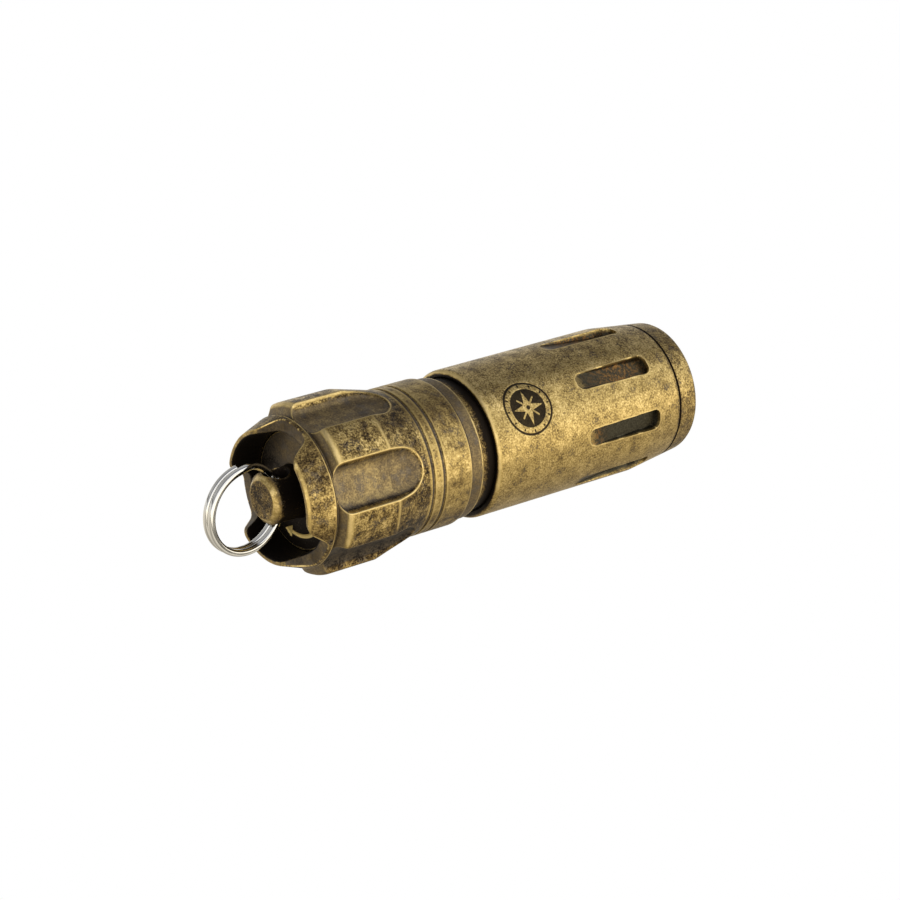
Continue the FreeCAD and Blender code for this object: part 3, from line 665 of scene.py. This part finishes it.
def eye_drill():
    """Cutter for the cross hole, which flares at both mouths."""
    inner_end, far_end = POST_R - EYE_FLARE_DEPTH, POST_R + 1.0
    far_r = EYE_R + (far_end - inner_end) * EYE_FLARE / EYE_FLARE_DEPTH
    around = 96
    rings = ((-far_end, far_r), (-inner_end, EYE_R), (inner_end, EYE_R), (far_end, far_r))
    turn = np.arange(around) * 2 * math.pi / around
    points = [((EYE_X + r * math.cos(t)) * MM + DATUM, r * math.sin(t) * MM, z * MM)
              for z, r in rings for t in turn]
    faces = []
    for i in range(len(rings) - 1):
        for j in range(around):
            k = (j + 1) % around
            faces.append((i * around + j, i * around + k, (i + 1) * around + k, (i + 1) * around + j))
    faces += [tuple(reversed(range(around))), tuple(3 * around + j for j in range(around))]
    mesh = bpy.data.meshes.new("eye_drill")
    mesh.from_pydata(points, [], faces)
    drill = bpy.data.objects.new("eye_drill", mesh)
    bpy.context.scene.collection.objects.link(drill)
    return drill


def key_post(material):
    """Disc with its engraved arrow, and the post with its worn bevel and cross hole."""
    profile = rounded_profile([
        (POST_TIP, 0.02, 0, 0.25), (POST_TIP, POST_TIP_R, 0.12, 0.08),
        (POST_TIP + POST_BEVEL, POST_R, 0.16, 0.1), (DISC_REAR, POST_R, 0.2, 0.15),
        (DISC_REAR, DISC_R, 0.12, 0.12), (DISC_FRONT, DISC_R, 0.05, 0.6), (DISC_FRONT, STEM_R, 0, 0.5),
        (STEM_FRONT, STEM_R, 0, 0.5), (STEM_FRONT, 0.02, 0, 0.5)])
    columns = 400
    clock = (np.arange(columns) * 360 / columns)[:, None]
    x, r = profile[None, :, 0] + 0 * clock, profile[None, :, 1] + 0 * clock
    on_face = (x < DISC_REAR + 0.02) & (x > DISC_REAR - 0.15) & (r > POST_R + 0.25)
    sunk = 1 - smooth_step(-0.05, 0.03, arrow_distance(x, r, clock))
    x = x + np.where(on_face, ARROW_DEPTH * sunk, 0)
    piece = grid_object("drilled_key_post", axis_points(x, r, clock))
    drill = eye_drill()
    cut = piece.modifiers.new("eye", "BOOLEAN")
    cut.operation, cut.object, cut.solver = "DIFFERENCE", drill, "EXACT"
    worn = piece.modifiers.new("eye_edge", "BEVEL")
    worn.width, worn.segments, worn.limit_method, worn.angle_limit = 0.07 * MM, 2, "ANGLE", math.radians(50)
    graph = bpy.context.evaluated_depsgraph_get()
    piece.data = bpy.data.meshes.new_from_object(piece.evaluated_get(graph))
    piece.modifiers.clear()
    bpy.data.objects.remove(drill)
    piece.data.shade_smooth()
    paint(piece, "arrow", arrow_distance)
    paint(piece, "patina_and_shade", post_patina_and_shade)
    paint(piece, "wear", post_wear)
    paint(piece, "calm", post_calm)
    finish_piece(piece, "tail", ["key_post"], material)


# ---- split ring ------------------------------------------------------------

def split_ring(material):
    """Nearly two turns of squared wire that cross from the far layer to the near one."""
    start, cross_from, cross_to, end = 98.0, 422.0, 458.0, 752.0
    turns = np.linspace(start, end, 520)
    side = COIL_STEP / 2 * (1 - 2 * smooth_step(cross_from, cross_to, turns))
    section = rounded_profile([(-WIRE / 2, -WIRE / 2, 0.26, 1.0), (-WIRE / 2, WIRE / 2, 0.26, 1.0),
                               (WIRE / 2, WIRE / 2, 0.26, 1.0), (WIRE / 2, -WIRE / 2, 0.26, 1.0)])
    angle = np.radians(turns)[:, None]
    radius = RING_R + section[None, :, 1]
    points = np.stack([radius * np.cos(angle), side[:, None] + section[None, :, 0] + 0 * angle,
                       radius * np.sin(angle)], axis=-1)
    count, around = points.shape[:2]
    points = points.reshape(-1, 3)
    faces = []
    for i in range(count - 1):
        for j in range(around):
            k = (j + 1) % around
            faces.append((i * around + j, i * around + k, (i + 1) * around + k, (i + 1) * around + j))
    faces.append(tuple(range(around)))
    faces.append(tuple((count - 1) * around + j for j in reversed(range(around))))
    mesh = bpy.data.meshes.new("double_coil_key_ring")
    mesh.from_pydata((points * MM).tolist(), [], faces)
    eye = Vector((DATUM + EYE_X * MM, 0, 0))
    swing = Matrix.Translation(eye) @ Matrix.Rotation(math.radians(RING_SWING), 4, "Z")
    mesh.transform(swing @ Matrix.Translation(Vector((RING_IN_EYE - RING_R, 0, -RING_SAG)) * MM))
    made = bmesh.new()
    made.from_mesh(mesh)
    bmesh.ops.recalc_face_normals(made, faces=made.faces)
    made.to_mesh(mesh)
    made.free()
    mesh.shade_smooth()
    piece = bpy.data.objects.new("double_coil_key_ring", mesh)
    bpy.context.scene.collection.objects.link(piece)
    finish_piece(piece, "ring", ["key_ring"], material)


# ---- materials -------------------------------------------------------------

# from rubbed bare brass to black, by tone
TONES = [(0.0, (0.64, 0.48, 0.205)), (0.3, (0.37, 0.265, 0.092)), (0.55, (0.165, 0.112, 0.042)),
         (0.8, (0.052, 0.034, 0.014)), (1.0, (0.009, 0.0055, 0.003))]
COLD_PATINA = (0.10, 0.094, 0.088)
ASH = (0.15, 0.135, 0.115)
RUST = (0.22, 0.11, 0.032)
POCKET_FLOOR = ((0.018, 0.018, 0.014), (0.055, 0.05, 0.034))
ETCHED = (0.012, 0.009, 0.007)
ENGRAVED = (0.68, 0.52, 0.2)


class Nodes:
    """Short hand for building a shader tree."""

    def __init__(self, name):
        self.material = bpy.data.materials.new(name)
        self.material.use_nodes = True
        self.tree = self.material.node_tree
        self.tree.nodes.clear()
        self.output = self.tree.nodes.new("ShaderNodeOutputMaterial")
        self.shader = self.tree.nodes.new("ShaderNodeBsdfPrincipled")
        self.link(self.shader.outputs[0], self.output.inputs["Surface"])
        self.place = self.tree.nodes.new("ShaderNodeTexCoord").outputs["Object"]

    def link(self, source, target):
        self.tree.links.new(source, target)

    def put(self, node, name, value):
        if hasattr(value, "is_linked"):
            self.link(value, node.inputs[name])
        else:
            node.inputs[name].default_value = value

    def noise(self, per_mm, detail=4.0, rough=0.55, distortion=0.0):
        node = self.tree.nodes.new("ShaderNodeTexNoise")
        self.link(self.place, node.inputs["Vector"])
        node.inputs["Scale"].default_value = per_mm * 1000
        node.inputs["Detail"].default_value = detail
        node.inputs["Roughness"].default_value = rough
        node.inputs["Distortion"].default_value = distortion
        return node.outputs["Fac"]

    def ramp(self, value, low, high, out_low=0.0, out_high=1.0):
        node = self.tree.nodes.new("ShaderNodeMapRange")
        node.interpolation_type = "SMOOTHSTEP"
        self.link(value, node.inputs["Value"])
        numbers = {"From Min": low, "From Max": high, "To Min": out_low, "To Max": out_high}
        for name, number in numbers.items():
            node.inputs[name].default_value = number
        return node.outputs["Result"]

    def math(self, operation, a, b=0.0):
        node = self.tree.nodes.new("ShaderNodeMath")
        node.operation = operation
        self.put(node, 0, a)
        self.put(node, 1, b)
        return node.outputs[0]

    def mix(self, share, a, b, mode="MIX"):
        node = self.tree.nodes.new("ShaderNodeMix")
        node.data_type = "RGBA"
        node.blend_type = mode
        sockets = [s for s in node.inputs if s.type == "RGBA"]
        self.put(node, 0, share)
        for socket, value in zip(sockets, (a, b)):
            if hasattr(value, "is_linked"):
                self.link(value, socket)
            else:
                socket.default_value = (*value, 1.0)
        return [s for s in node.outputs if s.type == "RGBA"][0]

    def shades(self, value, stops):
        node = self.tree.nodes.new("ShaderNodeValToRGB")
        while len(node.color_ramp.elements) < len(stops):
            node.color_ramp.elements.new(0.5)
        for element, (position, color) in zip(node.color_ramp.elements, stops):
            element.position = position
            element.color = (*color, 1.0)
        self.link(value, node.inputs["Fac"])
        return node.outputs["Color"]

    def openness(self, reach_mm, inside):
        node = self.tree.nodes.new("ShaderNodeAmbientOcclusion")
        node.samples = 12
        node.inside = inside
        node.only_local = True
        node.inputs["Distance"].default_value = reach_mm * MM
        return node.outputs["AO"]

    def layer(self, name):
        node = self.tree.nodes.new("ShaderNodeAttribute")
        node.attribute_name = name
        return node.outputs["Fac"]

    def bump(self, height, strength, depth_mm):
        node = self.tree.nodes.new("ShaderNodeBump")
        node.inputs["Strength"].default_value = strength
        node.inputs["Distance"].default_value = depth_mm * MM
        self.link(height, node.inputs["Height"])
        self.link(node.outputs[0], self.shader.inputs["Normal"])


def antique_brass(name, layers=(), patina_and_shade=0.36, grain=1.0, bloom=0.6, rubbed=0.6, cloud=0.55):
    """Tumbled brass: a tone runs from rubbed gold to black, led by the painted layers and by noise."""
    n = Nodes(name)

    def swing(noise, gain):
        return n.math("MULTIPLY", n.math("SUBTRACT", noise, 0.5), gain * grain)

    speck, blotch = n.noise(5.5, 3, 0.6), n.noise(1.1, 5, 0.66)
    mottle = n.math("ADD", swing(speck, 1.5), swing(blotch, bloom))
    mottle = n.math("ADD", mottle, swing(n.noise(0.45, 2, 0.5), cloud))
    if "calm" in layers:
        mottle = n.math("MULTIPLY", mottle, n.ramp(n.layer("calm"), 0.0, 1.0, 1.0, 0.35))
    # Darker where the surface is closed in: tarnish gathered in the hollows, and painted shade.
    hollow_tarnish_and_shade = n.ramp(n.openness(2.2, False), 0.9, 0.2)
    # This layer, where given, holds tarnish and painted shade.
    tone = n.math("ADD", n.layer("patina_and_shade") if "patina_and_shade" in layers else patina_and_shade, mottle)
    tone = n.math("ADD", tone, n.math("MULTIPLY", hollow_tarnish_and_shade, 0.3))
    # The seam layer holds the dark joint line and painted shade inside the sleeve's mouth.
    if "seam" in layers:
        tone = n.math("ADD", tone, n.layer("seam"))
    edge = n.math("MULTIPLY", n.ramp(n.openness(0.3, True), 0.9, 0.62), rubbed)
    if "wear" in layers:
        edge = n.math("MAXIMUM", edge, n.layer("wear"))
    ragged = n.math("ADD", 0.8, n.math("MULTIPLY", n.math("SUBTRACT", blotch, 0.5), 2.4))
    fine = n.math("MULTIPLY", n.math("SUBTRACT", speck, 0.5), 1.5)
    ragged = n.math("MULTIPLY", edge, n.math("ADD", ragged, fine))
    bare = n.math("MAXIMUM", n.ramp(ragged, 0.05, 0.95), n.ramp(edge, 0.72, 0.95, 0.0, 0.8))
    tone = n.math("SUBTRACT", tone, n.math("MULTIPLY", bare, n.math("SUBTRACT", tone, 0.04)))
    color = n.shades(tone, TONES)
    grey = n.math("MULTIPLY", n.ramp(n.noise(0.9, 3, 0.6), 0.5, 0.66), n.ramp(tone, 0.3, 0.6, 0.0, 0.35))
    grey = n.math("MULTIPLY", grey, n.ramp(tone, 0.7, 0.95, 1.0, 0.0))
    color = n.mix(grey, color, COLD_PATINA)
    if "calm" in layers:
        ash = n.math("MULTIPLY", n.math("SUBTRACT", 1.0, bare), n.ramp(n.layer("calm"), 0.5, 0.85, 0.0, 0.3))
        color = n.mix(n.math("MULTIPLY", ash, n.ramp(tone, 0.85, 1.1, 1.0, 0.0)), color, ASH)
    rough = n.ramp(tone, 0.0, 0.8, 0.34, 0.52)
    metal = n.ramp(tone, 0.6, 1.3, 1.0, 0.8)
    if "pocket" in layers:
        pocket = n.ramp(n.layer("pocket"), 0.03, -0.02)
        ground = n.math("ADD", n.layer("worn_end"), n.math("ADD", swing(speck, 1.6), swing(blotch, 1.0)))
        pocket = n.math("MULTIPLY", pocket, n.ramp(ground, 0.5, 0.9, 1.0, 0.35))
        rust = n.math("MULTIPLY", n.ramp(n.noise(3.0, 4, 0.75), 0.46, 0.6), n.layer("rust"))
        inner = n.mix(rust, n.mix(n.ramp(speck, 0.35, 0.65), *POCKET_FLOOR), RUST)
        color = n.mix(n.math("MULTIPLY", pocket, 0.97), color, inner)
    if "mark" in layers:
        etched = n.math("MULTIPLY", n.ramp(n.layer("mark"), 0.03, -0.02), 0.96)
        color = n.mix(etched, color, ETCHED)
    if "arrow" in layers:
        color = n.mix(n.ramp(n.layer("arrow"), 0.04, -0.02), color, ENGRAVED)
    n.link(color, n.shader.inputs["Base Color"])
    n.link(rough, n.shader.inputs["Roughness"])
    n.link(metal, n.shader.inputs["Metallic"])
    n.shader.inputs["Specular IOR Level"].default_value = 0.3
    n.bump(n.math("ADD", n.math("MULTIPLY", blotch, 0.5), speck), 0.5, 0.03)
    return n.material


def plain(name, color, metallic=0.0, rough=0.5, per_mm=6.0, vary=0.08, **extra):
    """A finish with fine colour and roughness variation, for the small and inner parts."""
    n = Nodes(name)
    grain = n.noise(per_mm, 4, 0.6)
    lighter = tuple(min(1.0, c * (1 + vary) + vary * 0.02) for c in color)
    darker = tuple(c * (1 - vary) for c in color)
    n.link(n.mix(grain, darker, lighter), n.shader.inputs["Base Color"])
    n.link(n.ramp(grain, 0.3, 0.7, rough * 0.85, min(1.0, rough * 1.15)), n.shader.inputs["Roughness"])
    n.shader.inputs["Metallic"].default_value = metallic
    for socket, value in extra.items():
        n.shader.inputs[socket.replace("_", " ")].default_value = value
    n.bump(grain, 0.1, 0.01)
    return n.material


def polished_steel(name):
    n = Nodes(name)
    scratch = n.noise(0.8, 2, 0.5)
    n.link(n.mix(scratch, (0.52, 0.51, 0.48), (0.66, 0.65, 0.61)), n.shader.inputs["Base Color"])
    n.link(n.ramp(scratch, 0.3, 0.7, 0.08, 0.14), n.shader.inputs["Roughness"])
    n.shader.inputs["Metallic"].default_value = 1.0
    n.bump(scratch, 0.03, 0.01)
    return n.material


def inner_materials():
    glass = {"Transmission_Weight": 1.0, "IOR": 1.5}
    return {
        "window_glass": plain("window_glass", (0.95, 0.97, 0.98), 0, 0.02, 3, 0.01, **glass),
        "clear_acrylic": plain("clear_acrylic", (0.96, 0.97, 0.97), 0, 0.03, 3, 0.01,
                               Transmission_Weight=1.0, IOR=1.49),
        "silicone_lens": plain("silicone_lens", (0.9, 0.72, 0.12), 0, 0.2, 8, 0.1),
        "ceramic_white": plain("ceramic_white", (0.86, 0.85, 0.8), 0, 0.45),
        "black_rubber": plain("black_rubber", (0.02, 0.02, 0.02), 0, 0.55, 5, 0.25),
        "aluminium_core": plain("aluminium_core", (0.85, 0.86, 0.86), 0.2, 0.4),
        "turned_brass": plain("turned_brass", (0.66, 0.5, 0.22), 1.0, 0.3),
        "green_board": plain("green_board", (0.02, 0.14, 0.05), 0, 0.35),
        "black_component": plain("black_component", (0.03, 0.03, 0.032), 0, 0.5),
        "tan_component": plain("tan_component", (0.42, 0.3, 0.18), 0, 0.5),
        "gold_contact": plain("gold_contact", (0.9, 0.66, 0.28), 1.0, 0.2),
        "grey_foam": plain("grey_foam", (0.12, 0.12, 0.13), 0, 0.95, 12, 0.4),
        "red_insulation": plain("red_insulation", (0.5, 0.02, 0.015), 0, 0.45),
        "black_insulation": plain("black_insulation", (0.025, 0.025, 0.025), 0, 0.45),
        "nickel_steel": plain("nickel_steel", (0.66, 0.66, 0.64), 1.0, 0.25),
        "blue_film": plain("blue_film", (0.02, 0.09, 0.3), 0, 0.2),
        "grey_card": plain("grey_card", (0.7, 0.69, 0.64), 0, 0.9),
    }


# ---- stage -----------------------------------------------------------------

# brightness of the surround by clock angle about the object's axis: soft box in front, floor, backdrop
SURROUND = [(-180, 0.6), (-150, 0.5), (-112, 1.1), (-78, 1.1), (-74, 0.2), (-69, 0.2), (-64, 0.7),
            (-45, 0.5), (-22, 0.45), (-12, 0.1), (2, 0.1), (10, 0.75), (35, 1.8), (46, 1.9),
            (49, 0.3), (54, 0.3), (57, 2.0), (100, 2.2), (113, 1.9), (118, 0.3), (124, 0.3),
            (129, 1.3), (150, 0.85), (180, 0.6)]
FLOOR_TINT, SKY_TINT = (1.0, 0.93, 0.8), (1.04, 1.07, 1.25)


def camera():
    away, lens, sensor = Vector((-185.76, -229.72, 117.03)), 120.0, 36.0
    right = Vector((0.78783, -0.61589, 0.0))
    forward = Vector((0.57122, 0.73069, -0.37390))
    up = right.cross(forward)
    data = bpy.data.cameras.new("camera")
    data.lens, data.sensor_width = lens, sensor
    data.clip_start, data.clip_end = 0.01, 20.0
    made = bpy.data.objects.new("camera", data)
    turn = Matrix((right, up, -forward)).transposed().to_4x4()
    made.matrix_world = Matrix.Translation(away * MM) @ turn
    bpy.context.scene.collection.objects.link(made)
    bpy.context.scene.camera = made


def studio_world():
    """Soft surround whose brightness follows the SURROUND table."""
    world = bpy.data.worlds.new("studio")
    world.use_nodes = True
    nodes, links = world.node_tree.nodes, world.node_tree.links
    axes = nodes.new("ShaderNodeSeparateXYZ")
    links.new(nodes.new("ShaderNodeTexCoord").outputs["Generated"], axes.inputs[0])
    flip = nodes.new("ShaderNodeMath")
    flip.operation = "MULTIPLY"
    flip.inputs[1].default_value = -1.0
    links.new(axes.outputs["Y"], flip.inputs[0])
    clock = nodes.new("ShaderNodeMath")
    clock.operation = "ARCTAN2"
    links.new(flip.outputs[0], clock.inputs[0])
    links.new(axes.outputs["Z"], clock.inputs[1])
    turn = nodes.new("ShaderNodeMapRange")
    turn.inputs["From Min"].default_value = -math.pi
    turn.inputs["From Max"].default_value = math.pi
    links.new(clock.outputs[0], turn.inputs["Value"])
    ramp = nodes.new("ShaderNodeValToRGB")
    ramp.color_ramp.interpolation = "EASE"
    while len(ramp.color_ramp.elements) < len(SURROUND):
        ramp.color_ramp.elements.new(0.5)
    for i, (angle, level) in enumerate(SURROUND):
        ramp.color_ramp.elements[i].position = (angle + 180) / 360
        tint = FLOOR_TINT if abs(angle) > 99 else SKY_TINT if abs(angle) < 32 else (1, 1, 1)
        ramp.color_ramp.elements[i].color = (*(level * share for share in tint), 1)
    links.new(turn.outputs["Result"], ramp.inputs["Fac"])
    links.new(ramp.outputs["Color"], nodes["Background"].inputs["Color"])
    bpy.context.scene.world = world


def stage_piece(name, mesh, glow, color):
    """Floor or backdrop: white to the camera, and unseen in the object's reflections."""
    made = bpy.data.objects.new(name, mesh)
    bpy.context.scene.collection.objects.link(made)
    made.visible_glossy = made.visible_diffuse = made.visible_transmission = made.visible_shadow = False
    n = Nodes(name)
    n.shader.inputs["Base Color"].default_value = (color, color, color, 1)
    n.shader.inputs["Roughness"].default_value = 0.9
    n.shader.inputs["Specular IOR Level"].default_value = 0.0
    n.shader.inputs["Emission Color"].default_value = (1, 1, 1, 1)
    n.shader.inputs["Emission Strength"].default_value = glow
    made.data.materials.append(n.material)


def stage():
    floor_z = CAD_BOX[0].z - 0.00002
    reach = 6.0
    mesh = bpy.data.meshes.new("floor")
    mesh.from_pydata([(-reach, -reach, floor_z), (reach, -reach, floor_z),
                      (reach, reach, floor_z), (-reach, reach, floor_z)], [], [(0, 1, 2, 3)])
    stage_piece("floor", mesh, 1.0, 0.0)
    made = bmesh.new()
    bmesh.ops.create_uvsphere(made, u_segments=48, v_segments=24, radius=0.9 * reach)
    mesh = bpy.data.meshes.new("backdrop")
    made.to_mesh(mesh)
    made.free()
    stage_piece("backdrop", mesh, 1.0, 0.0)
    studio_world()
    bpy.context.scene.view_settings.view_transform = "Standard"


camera()
stage()
SLOTS = inner_materials()
SLOTS["antique_brass"] = antique_brass("antique_brass", ("seam",), patina_and_shade=0.45, grain=1.05,
                                       bloom=0.75, rubbed=0.3)
SLOTS["dark_brass"] = antique_brass("dark_brass", ("patina_and_shade", "wear", "calm", "arrow"), grain=1.2, bloom=1.0)
SLOTS["polished_steel"] = polished_steel("polished_steel")
for subpart in frame["record"]["subparts"]:
    node = frame["nodes"][subpart["node"]]
    node.data.materials.clear()
    node.data.materials.append(SLOTS[subpart["material_slot"]])

head_sleeve(antique_brass("sleeve_brass", ("pocket", "mark", "wear", "seam", "calm"),
                          patina_and_shade=0.33, grain=1.3, bloom=0.8, rubbed=0.2))
bezel_ring(SLOTS["antique_brass"])
tail_crown(antique_brass("crown_brass", ("wear", "patina_and_shade", "calm"), grain=1.2, bloom=1.5, rubbed=0.42))
battery_tube(antique_brass("tube_brass", ("wear", "patina_and_shade", "calm"), grain=1.2))
key_post(SLOTS["dark_brass"])
split_ring(SLOTS["polished_steel"])
